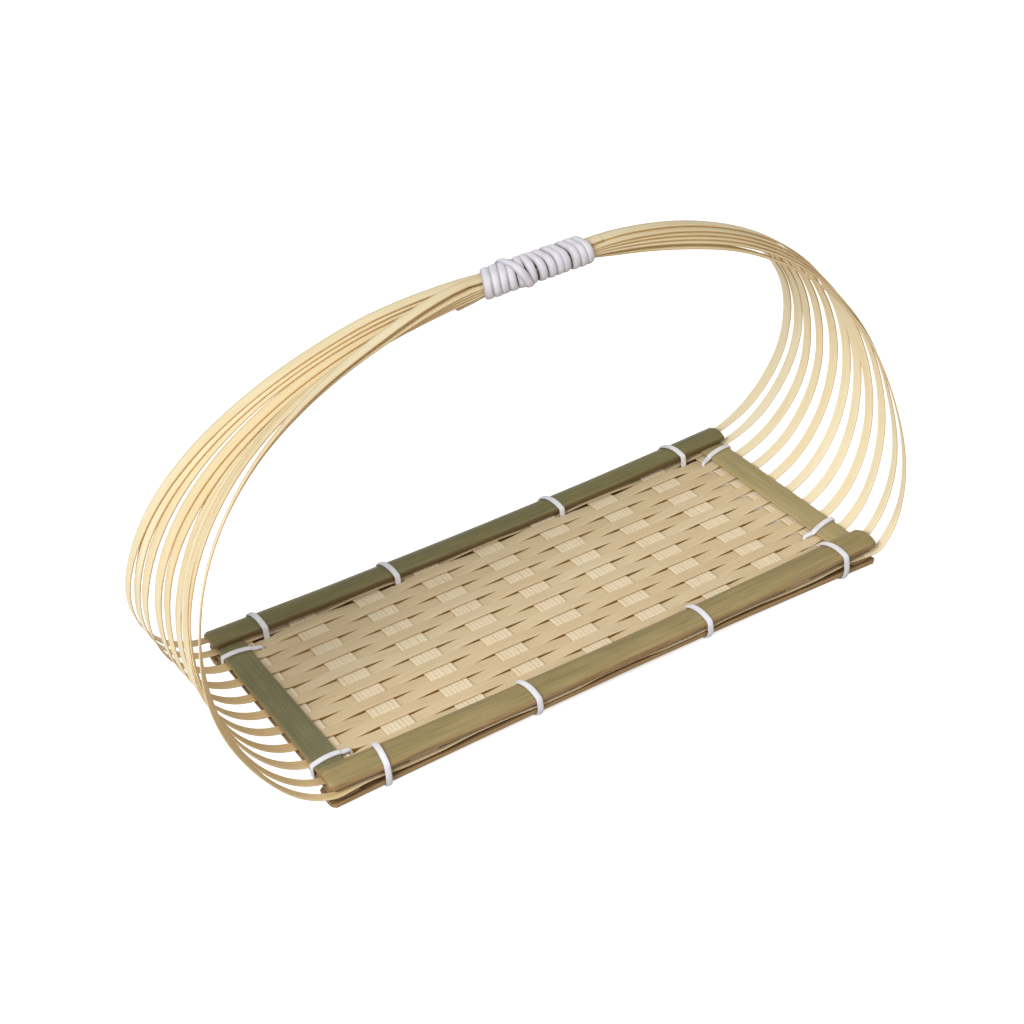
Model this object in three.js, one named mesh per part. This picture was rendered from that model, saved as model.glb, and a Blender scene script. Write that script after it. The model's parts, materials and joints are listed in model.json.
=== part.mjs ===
// A hand-woven bamboo serving basket: a flat woven tray in a lashed frame of split bamboo,
// with eleven long strips that leave the tray at both ends, flare out and up,
// and meet in one cord-wrapped grip above it.
//
// Millimetres, +Z up. X runs along the tray and the handle, Y across them.
// The origin is on the surface that the basket stands on, under the middle of the tray.
// Heights named "above the mat" are measured from the middle of the woven mat.

import * as THREE from 'three';

// Clearances
const clearance = 0.3; // between pieces that lie on each other
const layerGap = 0.3; // between the strips that are bound tightly in the grip

// Bamboo strips: the mat's long strips, and the handle staves that they continue into
const stripThick = 0.6;
const stripGap = 0.82; // between two strips of the open mat
const openStrips = 7; // strips on each side of the middle one that show between the rails
const railStrips = 3; // strips that lie under each rail, pressed together
const railStripWidth = 4.7;
const railStripGap = 0.15;
const exitSpread = 1.5; // the outermost strips turn out this far where they leave the tray
const shortStripReach = 4.5; // the other strips end this far past the middle of the crossbars

// Cross bundles of thin splints that the strips are woven over and under
const bundleCount = 9;
const bundleWidth = 14;
const bundleThick = 0.6;
const splintsPerBundle = 7;
const splintGroove = 0.2; // depth of the groove between two splints
const bundleInset = 3.8; // the end bundles lie this far inside the middle of the crossbars
const bundleShort = 2; // they end this far inside the mat's edges
const bundleSlack = 0.4; // a strip stays level this far past a bundle's edges

// Rails along both sides: split culms with the round skin outward
const railLength = 290;
const frontRailWidth = 15;
const backRailWidth = 13;
const bottomRailNarrower = 1; // the bottom rails are this much narrower, on their outer side
const railWall = 2.2;
const railCrown = 2.1; // how far the round skin rises above the rail's sides
const railHollow = 0.7; // how far the inner face is hollowed

// Crossbars under and over the ends of the mat, between the rails
const barWidth = 13.2;
const barWall = 1.1;
const barCrown = 0.8;
const barLength = 131.4;
const matOverhang = 1.5; // the mat's edges lie this far past the crossbars' ends
const railOverhang = 1.4; // the rails run this far past the crossbars

// White cord: twelve lashings and the winding of the grip
const tieWidth = 3;
const tieThick = 1.1;
const tieSlack = 0.13; // a lashing's straight stretches cut its bends, so it lies this much wider
const threadWidth = 1.3; // a lashing is drawn thin where it goes down beside a crossbar
const threadThick = 2;
const threadBendOut = 1.4; // it bends over to the crossbar this far beside that place
const threadBendUp = 1.5; // and this far above the mat
const threadBendShare = 0.3; // with this share of its way along the crossbar behind it
const threadBendWidth = 2;
const threadBendThick = 1.3;
const groundShare = 0.3; // a corner lashing lies flat on the ground over this share of a rail
const slotFlat = 1.9; // half the length over which a lashing holds the strips beside it apart
const slotRamp = 4; // half the length over which it moves them at all
const windingWidth = 3.25;
const windingThick = 1.7;
const windingPitch = 3.75;
const windingTurns = 13;
const windingCornerRadius = 2;
const gripX = 12; // the grip sits off the middle of the handle

// Handle: the line that every stave follows, seen from the side
const handleHeight = 169.6; // middle of the grip above the mat
const leftExitAngle = 9; // degrees above level, just past the crossbar
const rightExitAngle = 22;
const exitBendRadius = 12;
const exitBendInset = 1.2; // the bend begins this far inside the crossbar's outer edge
const leftExitReach = 54; // pull of the curve where it leaves the tray
const rightExitReach = 61.5;
const leftShoulderX = 208; // pull of the curve where it turns in to the grip
const rightShoulderX = 193.65;
const shoulderDrop = 7.3; // that pull's end lies this far below the grip
const closing = 0.887; // power of the climb with which the staves draw together
const gripStraight = 2; // straight stretch between the arch and the winding
const gripStripWidth = 5.6; // the staves are shaved narrower at their ends
const shaveLength = 60; // over this length before the grip
const looseLayerPitch = 1.15; // from layer to layer where the staves lie loose
const layersApart = 0.4; // they part into layers over this share of the climb
const widenShare = 0.12; // strips from under the rails widen over this share of the arch
const fanPitch = 1.24; // sideways step from stave to stave outside the grip
const upperStub = 7; // the end of one stave that shows past the grip on the right
const lowerStub = 13; // and of another on the left, underneath
const stubY = -1;

// Lashing places along the rails: the bundle beside which the cord goes down, counted from the
// middle, how far to which side of it, and how far the cord slants on its way to the outer edge
const railTies = [
  { name: 'front_1', side: -1, bundle: -4, gap: 8, slant: -2.2 },
  { name: 'front_2', side: -1, bundle: -1, gap: -2.9, slant: 1.2 },
  { name: 'front_3', side: -1, bundle: 1, gap: 4.8, slant: 1.1 },
  { name: 'front_4', side: -1, bundle: 4, gap: -0.7, slant: 2.2 },
  { name: 'back_1', side: 1, bundle: -4, gap: 5.4, slant: -2 },
  { name: 'back_2', side: 1, bundle: -1, gap: -7.6, slant: -2.6 },
  { name: 'back_3', side: 1, bundle: 1, gap: 2.2, slant: -3.5 },
  { name: 'back_4', side: 1, bundle: 4, gap: -7.1, slant: -4.2 },
];

// Lashing places along the crossbars: where the cord goes down between two strips, and where it
// crosses the inner and the outer edge, counted in strips
const barTies = [
  { name: 'left_front', end: -1, side: -1, thread: 6.5, inner: 6.55, outer: 6.71 },
  { name: 'left_back', end: -1, side: 1, thread: 6.5, inner: 6.5, outer: 6.71 },
  { name: 'right_front', end: 1, side: -1, thread: 5.5, inner: 5.65, outer: 5.12 },
  { name: 'right_back', end: 1, side: 1, thread: 6.5, inner: 6.75, outer: 7.12 },
];

// Number of steps along the curves
const archSteps = 16;
const bendSteps = 3;
const railSteps = 12;
const railSkinSteps = 8;
const railHollowSteps = 4;
const barSkinSteps = 6;
const leastStep = 0.5; // mm between two stations of a strip
const windingSteps = 24; // a turn

// Heights above the mat
const weaveRise = bundleThick / 2 + clearance + stripThick / 2;
const matTop = weaveRise + stripThick / 2;
const barBase = matTop + clearance;
const barTop = barBase + barWall + barCrown;
const railHeight = railWall + railCrown;
const railBaseMiddle = matTop + clearance;
const railBaseEnd = barTop + clearance;

// Places across the tray
const tieOffset = tieThick / 2 + clearance + tieSlack;
const matEdgeY = barLength / 2 + matOverhang;
const railStripPitch = railStripWidth + railStripGap;
const railStripY = matEdgeY - railStripWidth / 2 - (railStrips - 1) * railStripPitch;
const railInnerY = railStripY - railStripWidth / 2;
const slotY = railInnerY - tieOffset;
const stripPitch = slotY / (openStrips + 0.5);
const stripWidth = stripPitch - stripGap;
const bundleLength = 2 * (matEdgeY - bundleShort);

// Strips and staves are counted from the middle to both sides
const lastStrip = openStrips + railStrips;
const lastStave = lastStrip / 2;

// Places along the tray
const barX = railLength / 2 - railOverhang - barWidth / 2;
const barOuterX = barX + barWidth / 2;
const endBundleX = barX - bundleInset;
const bundlePitch = (2 * endBundleX) / (bundleCount - 1);
const bundleEdge = bundleWidth / 2 + bundleSlack;
const threadX = endBundleX - bundleWidth / 2 - clearance - threadThick / 2;
const shortStripEnd = barX + shortStripReach;
const exitBendX = barOuterX - exitBendInset;
const windingLength = windingPitch * windingTurns;

// The mat's middle is as high as the deepest lashing needs to lie on the ground
const deepestTieX = Math.max(...railTies.map((tie) => Math.abs(tieX(tie, 0.5))));
const matZ = railBase(deepestTieX) + railHeight + tieOffset + tieThick / 2;
const gripZ = matZ + handleHeight;

// Colours of bamboo and cord
const colours = {
  topRail: 0x8a8055,
  bottomRail: 0xb49a63,
  crossbar: 0x7d7550,
  strip: 0xd6bf8c,
  stave: 0xeeddb0,
  bundle: 0xe2cba0,
  cord: 0xe9e9ee,
};

// Place of a rail's lashing along the tray, from the rail's inner edge at 0 to the outer one at 1
function tieX(tie, share) {
  const beside = Math.sign(tie.gap) * (bundleWidth + tieWidth) / 2 + tie.gap;
  return tie.bundle * bundlePitch + beside + share * tie.slant;
}

function railWidth(side, up) {
  const width = side < 0 ? frontRailWidth : backRailWidth;
  return up > 0 ? width : width - bottomRailNarrower;
}

function railY(side, up) {
  return railInnerY + railWidth(side, up) / 2;
}

// Height of a rail's inner edge above the mat: the lashings draw its middle down
function railBase(x) {
  return railBaseMiddle + (railBaseEnd - railBaseMiddle) * (x / barX) ** 2;
}

function smoothStep(t) {
  const s = Math.min(Math.max(t, 0), 1);
  return s * s * (3 - 2 * s);
}

function mix(a, b, t) {
  return a + (b - a) * t;
}

function radians(degrees) {
  return (degrees * Math.PI) / 180;
}

// Radius of the arc that spans a width and rises by a crown
function arcRadius(width, crown) {
  return ((width / 2) ** 2 + crown ** 2) / (2 * crown);
}

// Sections, as closed outlines in across and up coordinates, counter-clockwise
const flatSection = [[-0.5, -0.5], [0.5, -0.5], [0.5, 0.5], [-0.5, 0.5]];
const cordSection = [[-0.5, 0], [-0.3, -0.5], [0.3, -0.5], [0.5, 0], [0.3, 0.5], [-0.3, 0.5]];

function arcPoints(width, base, crown, steps) {
  const points = [];
  const radius = arcRadius(width, Math.abs(crown));
  const halfAngle = Math.asin(width / 2 / radius);
  for (let i = 0; i <= steps; i += 1) {
    const angle = mix(halfAngle, -halfAngle, i / steps);
    const rise = radius * (Math.cos(angle) - Math.cos(halfAngle));
    points.push([radius * Math.sin(angle), base + Math.sign(crown) * rise]);
  }
  return points;
}

// A split culm: round skin above, hollowed face below
function culmSection(width, wall, crown, hollow) {
  const skin = arcPoints(width, wall, crown, railSkinSteps);
  const inside = arcPoints(width, 0, hollow, railHollowSteps).reverse();
  return [...skin, ...inside];
}

function barSection(up) {
  const skin = arcPoints(barWidth, barWall, barCrown, barSkinSteps);
  const outline = [[-barWidth / 2, 0], [barWidth / 2, 0], ...skin];
  return outline.map(([a, b]) => new THREE.Vector2(a, up * b));
}

// Splints side by side, with a groove above and below between each two
function bundleSection() {
  const outline = [];
  const splint = bundleWidth / splintsPerBundle;
  const half = bundleThick / 2;
  const addFace = (direction) => {
    for (let i = 0; i < splintsPerBundle; i += 1) {
      const start = direction * (-bundleWidth / 2 + i * splint);
      const end = start + direction * splint;
      const edge = direction * splintGroove;
      outline.push([start, -direction * (half - splintGroove)]);
      outline.push([start + edge, -direction * half], [end - edge, -direction * half]);
    }
    outline.push([direction * bundleWidth / 2, -direction * (half - splintGroove)]);
  };
  addFace(1);
  addFace(-1);
  return outline.map(([a, b]) => new THREE.Vector2(a, b));
}

// A closed solid swept through frames. Each frame has a centre, the directions across and up,
// and the section's size in both. The section runs counter-clockwise seen against the sweep.
function sweep(frames, section, closed = false) {
  const count = section.length;
  const positions = [];
  for (const frame of frames) {
    for (const [a, b] of section) {
      const point = frame.centre.clone();
      point.addScaledVector(frame.across, a * frame.wide);
      point.addScaledVector(frame.up, b * frame.high);
      positions.push(point.x, point.y, point.z);
    }
  }
  const index = [];
  const spans = closed ? frames.length : frames.length - 1;
  for (let i = 0; i < spans; i += 1) {
    const here = i * count;
    const next = ((i + 1) % frames.length) * count;
    for (let k = 0; k < count; k += 1) {
      const k2 = (k + 1) % count;
      index.push(here + k, here + k2, next + k2, here + k, next + k2, next + k);
    }
  }
  if (!closed) {
    const contour = section.map(([a, b]) => new THREE.Vector2(a, b));
    const last = (frames.length - 1) * count;
    for (const [a, b, c] of THREE.ShapeUtils.triangulateShape(contour, [])) {
      index.push(a, c, b);
      index.push(last + a, last + b, last + c);
    }
  }
  const geometry = new THREE.BufferGeometry();
  geometry.setAttribute('position', new THREE.Float32BufferAttribute(positions, 3));
  geometry.setIndex(index);
  return geometry;
}

// Frames along a line of points: the section's width stays as near to a given direction as the
// line allows. At a level point it stands upright.
function framesAlong(points, closed = false) {
  const count = points.length;
  return points.map((point, i) => {
    const before = points[closed ? (i + count - 1) % count : Math.max(i - 1, 0)].centre;
    const after = points[closed ? (i + 1) % count : Math.min(i + 1, count - 1)].centre;
    const along = after.clone().sub(before);
    if (point.level) along.setZ(0);
    along.normalize();
    const across = point.towards.clone();
    across.addScaledVector(along, -across.dot(along)).normalize();
    const up = along.clone().cross(across);
    return { centre: point.centre, across, up, wide: point.wide, high: point.high };
  });
}

// Straight pieces that lie across the tray
function crossPiece(outline, length) {
  const shape = new THREE.Shape(outline);
  const geometry = new THREE.ExtrudeGeometry(shape, { depth: length, bevelEnabled: false });
  geometry.translate(0, 0, -length / 2);
  geometry.rotateX(Math.PI / 2);
  return geometry;
}

// Middle of a strip in the open mat and under a rail; strip 0 lies in the middle
function stripY(strip) {
  const number = Math.abs(strip);
  const past = number - openStrips - 1;
  const y = past < 0 ? number * stripPitch : railStripY + past * railStripPitch;
  return Math.sign(strip) * y;
}

// Places where a lashing goes down between two strips, and how thick it is there across them
const slots = [
  ...railTies.map((tie) => ({ x: tieX(tie, 0), y: tie.side * slotY, thick: tieThick })),
  ...barTies.map((tie) => (
    { x: tie.end * threadX, y: tie.side * tie.thread * stripPitch, thick: threadWidth })),
];

function stripWide(strip) {
  return Math.abs(strip) > openStrips ? railStripWidth : stripWidth;
}

// Where a strip leaves the tray
function exitY(strip) {
  const turnOut = Math.abs(strip) === lastStrip ? exitSpread : 0;
  return stripY(strip) + Math.sign(strip) * turnOut;
}

// How far a lashing moves a strip to lie clear of it
function slotPush(strip, slot) {
  const distance = stripY(strip) - slot.y;
  const room = Math.abs(distance) - stripWide(strip) / 2;
  return Math.sign(distance) * Math.max(slot.thick / 2 + clearance - room, 0);
}

function slotsBeside(strip) {
  const beside = slots.filter((slot) => Math.abs(stripY(strip) - slot.y) < stripPitch);
  return beside.filter((slot) => Math.abs(slotPush(strip, slot)) > 0);
}

function stripPush(strip, x) {
  let push = 0;
  for (const slot of slotsBeside(strip)) {
    const distance = Math.abs(x - slot.x);
    const share = 1 - smoothStep((distance - slotFlat) / (slotRamp - slotFlat));
    push += slotPush(strip, slot) * share;
  }
  return push;
}

// Over or under each bundle in turn, level across it
function weaveHeight(strip, x) {
  const place = (x + endBundleX) / bundlePitch;
  const bundle = Math.min(Math.max(Math.floor(place), 0), bundleCount - 2);
  const level = bundleEdge / bundlePitch;
  const turn = smoothStep((place - bundle - level) / (1 - 2 * level));
  const over = (strip + bundle) % 2 === 0 ? 1 : -1;
  return over * weaveRise * (1 - 2 * turn);
}

// Points along a strip from one end of the mat to the other
function matPoints(strip, endX) {
  const stations = [-endX, endX];
  for (let bundle = 0; bundle < bundleCount; bundle += 1) {
    const x = -endBundleX + bundle * bundlePitch;
    stations.push(x - bundleEdge, x + bundleEdge);
    if (bundle < bundleCount - 1) {
      const gap = bundlePitch - 2 * bundleEdge;
      stations.push(x + bundleEdge + gap / 3, x + bundleEdge + (2 * gap) / 3);
    }
  }
  for (const slot of slotsBeside(strip)) {
    stations.push(slot.x - slotRamp, slot.x - slotFlat, slot.x + slotFlat, slot.x + slotRamp);
  }
  const inside = stations.filter((x) => Math.abs(x) <= endX).sort((a, b) => a - b);
  const apart = inside.filter((x, i) => i === 0 || x - inside[i - 1] > leastStep);
  return apart.map((x) => {
    const past = (Math.abs(x) - endBundleX + bundleEdge) / (2 * bundleEdge);
    const turnOut = Math.min(Math.max(past, 0), 1);
    const y = mix(stripY(strip), exitY(strip), turnOut) + stripPush(strip, x);
    return flatPoint(x, y, matZ + weaveHeight(strip, x), stripWide(strip));
  });
}

function flatPoint(x, y, z, wide) {
  const towards = new THREE.Vector3(0, 1, 0);
  return { centre: new THREE.Vector3(x, y, z), towards, wide, high: stripThick };
}

// The handle's line at one end, from the tray to the grip, as distance from the middle and height
function archCurve(end) {
  const angle = exitAngle(end);
  const start = exitBend(angle);
  const reach = end < 0 ? leftExitReach : rightExitReach;
  const pull = new THREE.Vector2(Math.cos(angle), Math.sin(angle)).multiplyScalar(reach);
  return new THREE.CubicBezierCurve(
    start,
    start.clone().add(pull),
    new THREE.Vector2(end < 0 ? leftShoulderX : rightShoulderX, gripZ - shoulderDrop),
    new THREE.Vector2(end * gripX + windingLength / 2 + gripStraight, gripZ),
  );
}

function exitAngle(end) {
  return radians(end < 0 ? leftExitAngle : rightExitAngle);
}

// A place in the bend just past the crossbar, as distance from the middle and height
function exitBend(angle) {
  const x = exitBendX + exitBendRadius * Math.sin(angle);
  return new THREE.Vector2(x, matZ + weaveRise + exitBendRadius * (1 - Math.cos(angle)));
}

// A stave's side of the stack in the grip: front, back, or the middle one
function columnY(stave) {
  return (Math.sign(stave) * (gripStripWidth + layerGap)) / 2;
}

// A stave's layer in the stack: on the left the middle stave lies lowest, and on the right highest
function stackLayer(end, stave) {
  return end < 0 ? Math.abs(stave) : lastStave - Math.abs(stave);
}

// Height of a layer over the middle of the stack
function layerShift(layer, pitch) {
  return (layer - lastStave / 2) * pitch;
}

// A point of a stave on the arch. Share 0 is at the tray and 1 at the grip.
function archPoint(end, share, stave, layer, towardsY) {
  const curve = archCurve(end);
  const place = curve.getPoint(share);
  const tangent = curve.getTangent(share);
  const climb = (place.y - curve.v0.y) / (gripZ - curve.v0.y);
  const fromGrip = place.x - curve.v3.x;
  const loose = smoothStep(fromGrip / shaveLength);
  const tightPitch = stripThick + layerGap;
  const pitch = mix(tightPitch, looseLayerPitch, loose) * smoothStep(climb / layersApart);
  const shift = layerShift(layer, pitch);
  const fan = Math.sign(stave) * (Math.abs(stave) - 1) * fanPitch * loose;
  const y = mix(exitY(2 * stave), towardsY + fan, climb ** closing);
  const x = end * (place.x + tangent.y * shift);
  const z = place.y - tangent.x * shift;
  const wide = mix(stripWide(2 * stave), stripWidth, Math.min(share / widenShare, 1));
  return flatPoint(x, y, z, mix(gripStripWidth, wide, loose));
}

// The straight stretch of a stave inside the winding
function gripPoint(x, y, layer) {
  return flatPoint(x, y, gripZ + layerShift(layer, stripThick + layerGap), gripStripWidth);
}

// Share of the arch at which the end of a stave stops that runs through the grip
function stubShare(end) {
  const curve = archCurve(end);
  const stub = end > 0 ? upperStub : lowerStub;
  return 1 - (stub - gripStraight) / (3 * (curve.v2.x - curve.v3.x));
}

// From the crossbar's edge up to the grip
function archPoints(end, stave, layer, towardsY) {
  const points = [];
  for (let i = 0; i < bendSteps; i += 1) {
    const place = exitBend((exitAngle(end) * i) / bendSteps);
    points.push(flatPoint(end * place.x, exitY(2 * stave), place.y, stripWide(2 * stave)));
  }
  const shares = Array.from({ length: archSteps }, (_, i) => i / archSteps);
  for (const share of [...shares, stubShare(end), 1]) {
    points.push(archPoint(end, share, stave, layer, towardsY));
  }
  return points;
}

// A stave's end that runs through the grip and shows for a short length beyond it
function throughEnd(end, layer) {
  const shares = [1, stubShare(-end)];
  const points = shares.map((share) => archPoint(-end, share, 0, layer, stubY));
  return { layer, y: stubY, points };
}

// Where a stave's end lies in the grip. Both ends of the front stave run through it, over and
// under the others, which end in its middle.
function gripEnd(end, stave) {
  if (stave === -lastStave) return throughEnd(end, end < 0 ? lastStave + 1 : -1);
  const layer = stackLayer(end, stave);
  const y = columnY(stave);
  return { layer, y, points: [gripPoint(gripX + end * layerGap, y, layer)] };
}

function handleStave(stave) {
  const left = gripEnd(-1, stave);
  const right = gripEnd(1, stave);
  const points = [
    ...left.points.reverse(),
    ...archPoints(-1, stave, left.layer, left.y).reverse(),
    ...matPoints(2 * stave, endBundleX + bundleEdge),
    ...archPoints(1, stave, right.layer, right.y),
    ...right.points,
  ];
  return sweep(framesAlong(points), flatSection);
}

function matStrip(strip) {
  return sweep(framesAlong(matPoints(strip, shortStripEnd)), flatSection);
}

// A rail along X; side is 1 at the back and -1 at the front, up is 1 for a top rail and -1 for
// a bottom one
function rail(side, up) {
  const section = culmSection(railWidth(side, up), railWall, railCrown, railHollow);
  const points = [];
  for (let i = 0; i <= railSteps; i += 1) {
    const x = mix(-railLength / 2, railLength / 2, i / railSteps);
    const centre = new THREE.Vector3(x, side * railY(side, up), matZ + up * railBase(x));
    points.push({ centre, towards: new THREE.Vector3(0, up, 0), wide: 1, high: 1 });
  }
  return sweep(framesAlong(points), section);
}

function tiePoint(x, y, z, towards, wide = tieWidth, high = tieThick) {
  return { centre: new THREE.Vector3(x, y, z), towards, wide, high };
}

// Places over a round skin, at the lashing's distance from it, with a level stretch on the crown
function overSkin(width, wall, crown) {
  const radius = arcRadius(width, crown);
  const halfAngle = Math.asin(width / 2 / radius);
  return [-1, -0.6, -0.2, 0.2, 0.6, 1].map((share) => {
    const angle = share * halfAngle;
    const reach = radius + tieOffset;
    return { across: reach * Math.sin(angle), up: wall + crown - radius + reach * Math.cos(angle) };
  });
}

// A lashing round both rails. It goes down inside them between two strips of the mat.
function railTie(tie) {
  const { side } = tie;
  const outerY = Math.max(railInnerY + railWidth(side, 1), matEdgeY) + tieOffset;
  const atCorner = Math.abs(tieX(tie, 0.5)) > barX / 2;
  const placeX = (y) => tieX(tie, (y - slotY) / (outerY - slotY));
  const outline = [[slotY, 0], [slotY, railBase(placeX(slotY)) + railWall]];
  for (const { across, up } of overSkin(railWidth(side, 1), railWall, railCrown)) {
    const y = railY(side, 1) + across;
    outline.push([y, railBase(placeX(y)) + up]);
  }
  outline.push([outerY, matTop + clearance], [outerY, -matTop - clearance]);
  for (const { across, up } of overSkin(railWidth(side, -1), railWall, railCrown).reverse()) {
    const y = railY(side, -1) + across;
    const ground = atCorner && Math.abs(across) < (groundShare * railWidth(side, -1)) / 2;
    outline.push([y, ground ? tieThick / 2 - matZ : -railBase(placeX(y)) - up, ground]);
  }
  outline.push([slotY, -matTop - clearance]);
  const points = outline.map(([y, z, level]) => {
    const towards = new THREE.Vector3(-side, 0, 0);
    return { ...tiePoint(placeX(y), side * y, matZ + z, towards), level };
  });
  return sweep(framesAlong(points, true), flatSection, true);
}

// A lashing round both crossbars, drawn thin where it goes down through the mat
function barTie(tie) {
  const skin = overSkin(barWidth, barWall, barCrown);
  const towards = new THREE.Vector3(0, tie.end, 0);
  const innerX = barX - barWidth / 2 - tieOffset;
  const outerX = barOuterX + tieOffset;
  const threadY = tie.thread * stripPitch;
  const innerY = tie.inner * stripPitch;
  const outerY = tie.outer * stripPitch;
  const bendX = threadX + threadBendOut;
  const bendY = mix(threadY, innerY, threadBendShare);
  const above = [
    [threadX, threadY, matTop + clearance, threadWidth, threadThick],
    [bendX, bendY, matTop + threadBendUp, threadBendWidth, threadBendThick],
    [innerX, innerY, barBase + barWall, tieWidth, tieThick],
  ];
  for (const { across, up } of skin) {
    const y = mix(innerY, outerY, 0.5 + across / (outerX - innerX));
    above.push([barX + across, y, barBase + up, tieWidth, tieThick]);
  }
  above.push([outerX, outerY, barBase + barWall, tieWidth, tieThick]);
  const below = above.map(([x, y, z, wide, high]) => [x, y, -z, wide, high]).reverse();
  const points = [...above, ...below].map(([x, y, z, wide, high]) =>
    tiePoint(tie.end * x, tie.side * y, matZ + z, towards, wide, high));
  return sweep(framesAlong(points, true), flatSection, true);
}

// Point at a distance along a rectangle with round corners, from the middle of its lower side
function roundRectangle(distance, halfWidth, halfHeight, radius) {
  const flatWidth = 2 * (halfWidth - radius);
  const flatHeight = 2 * (halfHeight - radius);
  const corner = (Math.PI / 2) * radius;
  const stretches = [
    [flatWidth / 2, 0], [corner, 1], [flatHeight, 0], [corner, 1],
    [flatWidth, 0], [corner, 1], [flatHeight, 0], [corner, 1], [flatWidth / 2, 0],
  ];
  const perimeter = stretches.reduce((sum, [length]) => sum + length, 0);
  let left = ((distance % perimeter) + perimeter) % perimeter;
  const place = new THREE.Vector2(0, -halfHeight);
  let heading = 0;
  for (const [length, turning] of stretches) {
    const run = Math.min(left, length);
    if (turning) {
      const turned = run / radius;
      const toCentre = new THREE.Vector2(-Math.sin(heading), Math.cos(heading)).multiplyScalar(radius);
      const centre = place.clone().add(toCentre);
      place.copy(centre).sub(toCentre.rotateAround(new THREE.Vector2(), turned));
      heading += turned;
    } else {
      place.add(new THREE.Vector2(Math.cos(heading), Math.sin(heading)).multiplyScalar(run));
    }
    left -= run;
    if (left <= 0) break;
  }
  return { place, perimeter };
}

// The cord of the grip: one unbroken winding round the stack of stave ends
function windingPoints() {
  const stackHalfWidth = gripStripWidth + layerGap / 2;
  const stackHalfHeight = (lastStave / 2 + 1) * (stripThick + layerGap) + stripThick / 2;
  const offset = windingThick / 2 + clearance;
  const halfWidth = stackHalfWidth + offset;
  const halfHeight = stackHalfHeight + offset;
  const { perimeter } = roundRectangle(0, halfWidth, halfHeight, windingCornerRadius);
  const points = [];
  const steps = windingTurns * windingSteps;
  for (let i = 0; i <= steps; i += 1) {
    const turn = i / windingSteps;
    const { place } = roundRectangle(turn * perimeter, halfWidth, halfHeight, windingCornerRadius);
    const x = gripX - windingLength / 2 + turn * windingPitch;
    const centre = new THREE.Vector3(x, place.x, gripZ + place.y);
    const towards = new THREE.Vector3(1, 0, 0);
    points.push({ centre, towards, wide: windingWidth, high: windingThick });
  }
  return points;
}

// Least gap between one turn and the next, measured on the points of the winding
function windingGap(points) {
  let least = Infinity;
  for (let i = 0; i < points.length; i += 1) {
    for (let j = i + windingSteps / 2; j < points.length; j += 1) {
      const gap = points[i].centre.distanceTo(points[j].centre) - windingWidth;
      least = Math.min(least, gap);
    }
  }
  return least;
}

function piece(name, geometry, colour, roughness) {
  geometry.computeVertexNormals();
  const material = new THREE.MeshStandardMaterial({ color: colour, roughness, metalness: 0 });
  const mesh = new THREE.Mesh(geometry, material);
  mesh.name = name;
  return mesh;
}

function numbered(name, number) {
  return `${name}_${String(number).padStart(2, '0')}`;
}

function frame() {
  const group = new THREE.Group();
  const sides = [['front', -1], ['back', 1]];
  for (const [name, side] of sides) {
    group.add(piece(`top_rail_${name}`, rail(side, 1), colours.topRail, 0.45));
    group.add(piece(`bottom_rail_${name}`, rail(side, -1), colours.bottomRail, 0.6));
  }
  const ends = [['left', -1], ['right', 1]];
  for (const [name, end] of ends) {
    for (const [level, up] of [['top', 1], ['bottom', -1]]) {
      const outline = barSection(up);
      const bar = piece(`${level}_crossbar_${name}`, crossPiece(outline, barLength), colours.crossbar, 0.5);
      bar.position.set(end * barX, 0, matZ + up * barBase);
      group.add(bar);
    }
  }
  return group;
}

function mat() {
  const group = new THREE.Group();
  for (let bundle = 0; bundle < bundleCount; bundle += 1) {
    const geometry = crossPiece(bundleSection(), bundleLength);
    const mesh = piece(numbered('cross_bundle', bundle + 1), geometry, colours.bundle, 0.7);
    mesh.position.set(-endBundleX + bundle * bundlePitch, 0, matZ);
    group.add(mesh);
  }
  let count = 0;
  for (let strip = lastStrip; strip >= -lastStrip; strip -= 1) {
    if (strip % 2 !== 0) {
      count += 1;
      group.add(piece(numbered('mat_strip', count), matStrip(strip), colours.strip, 0.65));
    }
  }
  return group;
}

// The staves are numbered from the back to the front
function handle() {
  const group = new THREE.Group();
  let count = 0;
  for (let stave = lastStave; stave >= -lastStave; stave -= 1) {
    count += 1;
    group.add(piece(numbered('handle_stave', count), handleStave(stave), colours.stave, 0.55));
  }
  const winding = windingPoints();
  console.log(`least gap between turns of the winding: ${windingGap(winding).toFixed(2)} mm`);
  group.add(piece('grip_winding', sweep(framesAlong(winding), cordSection), colours.cord, 0.85));
  return group;
}

function lashings() {
  const group = new THREE.Group();
  for (const tie of railTies) group.add(piece(`rail_tie_${tie.name}`, railTie(tie), colours.cord, 0.85));
  for (const tie of barTies) group.add(piece(`crossbar_tie_${tie.name}`, barTie(tie), colours.cord, 0.85));
  return group;
}

const basket = new THREE.Group();
basket.add(frame(), mat(), handle(), lashings());

export default basket;
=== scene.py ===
# The looks of a hand-woven bamboo serving basket: a flat woven tray in a lashed frame of split
# bamboo, with long strips that flare out at both ends and meet in a cord-wrapped grip.
#
# Sizes are in millimetres, in the frame's own axes, and become metres when a mesh is made.
# Heights named "above the mat" are measured from the middle of the woven mat.

import json
import math
import random
from collections import namedtuple

import bpy
from mathutils import Matrix, Vector


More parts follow.
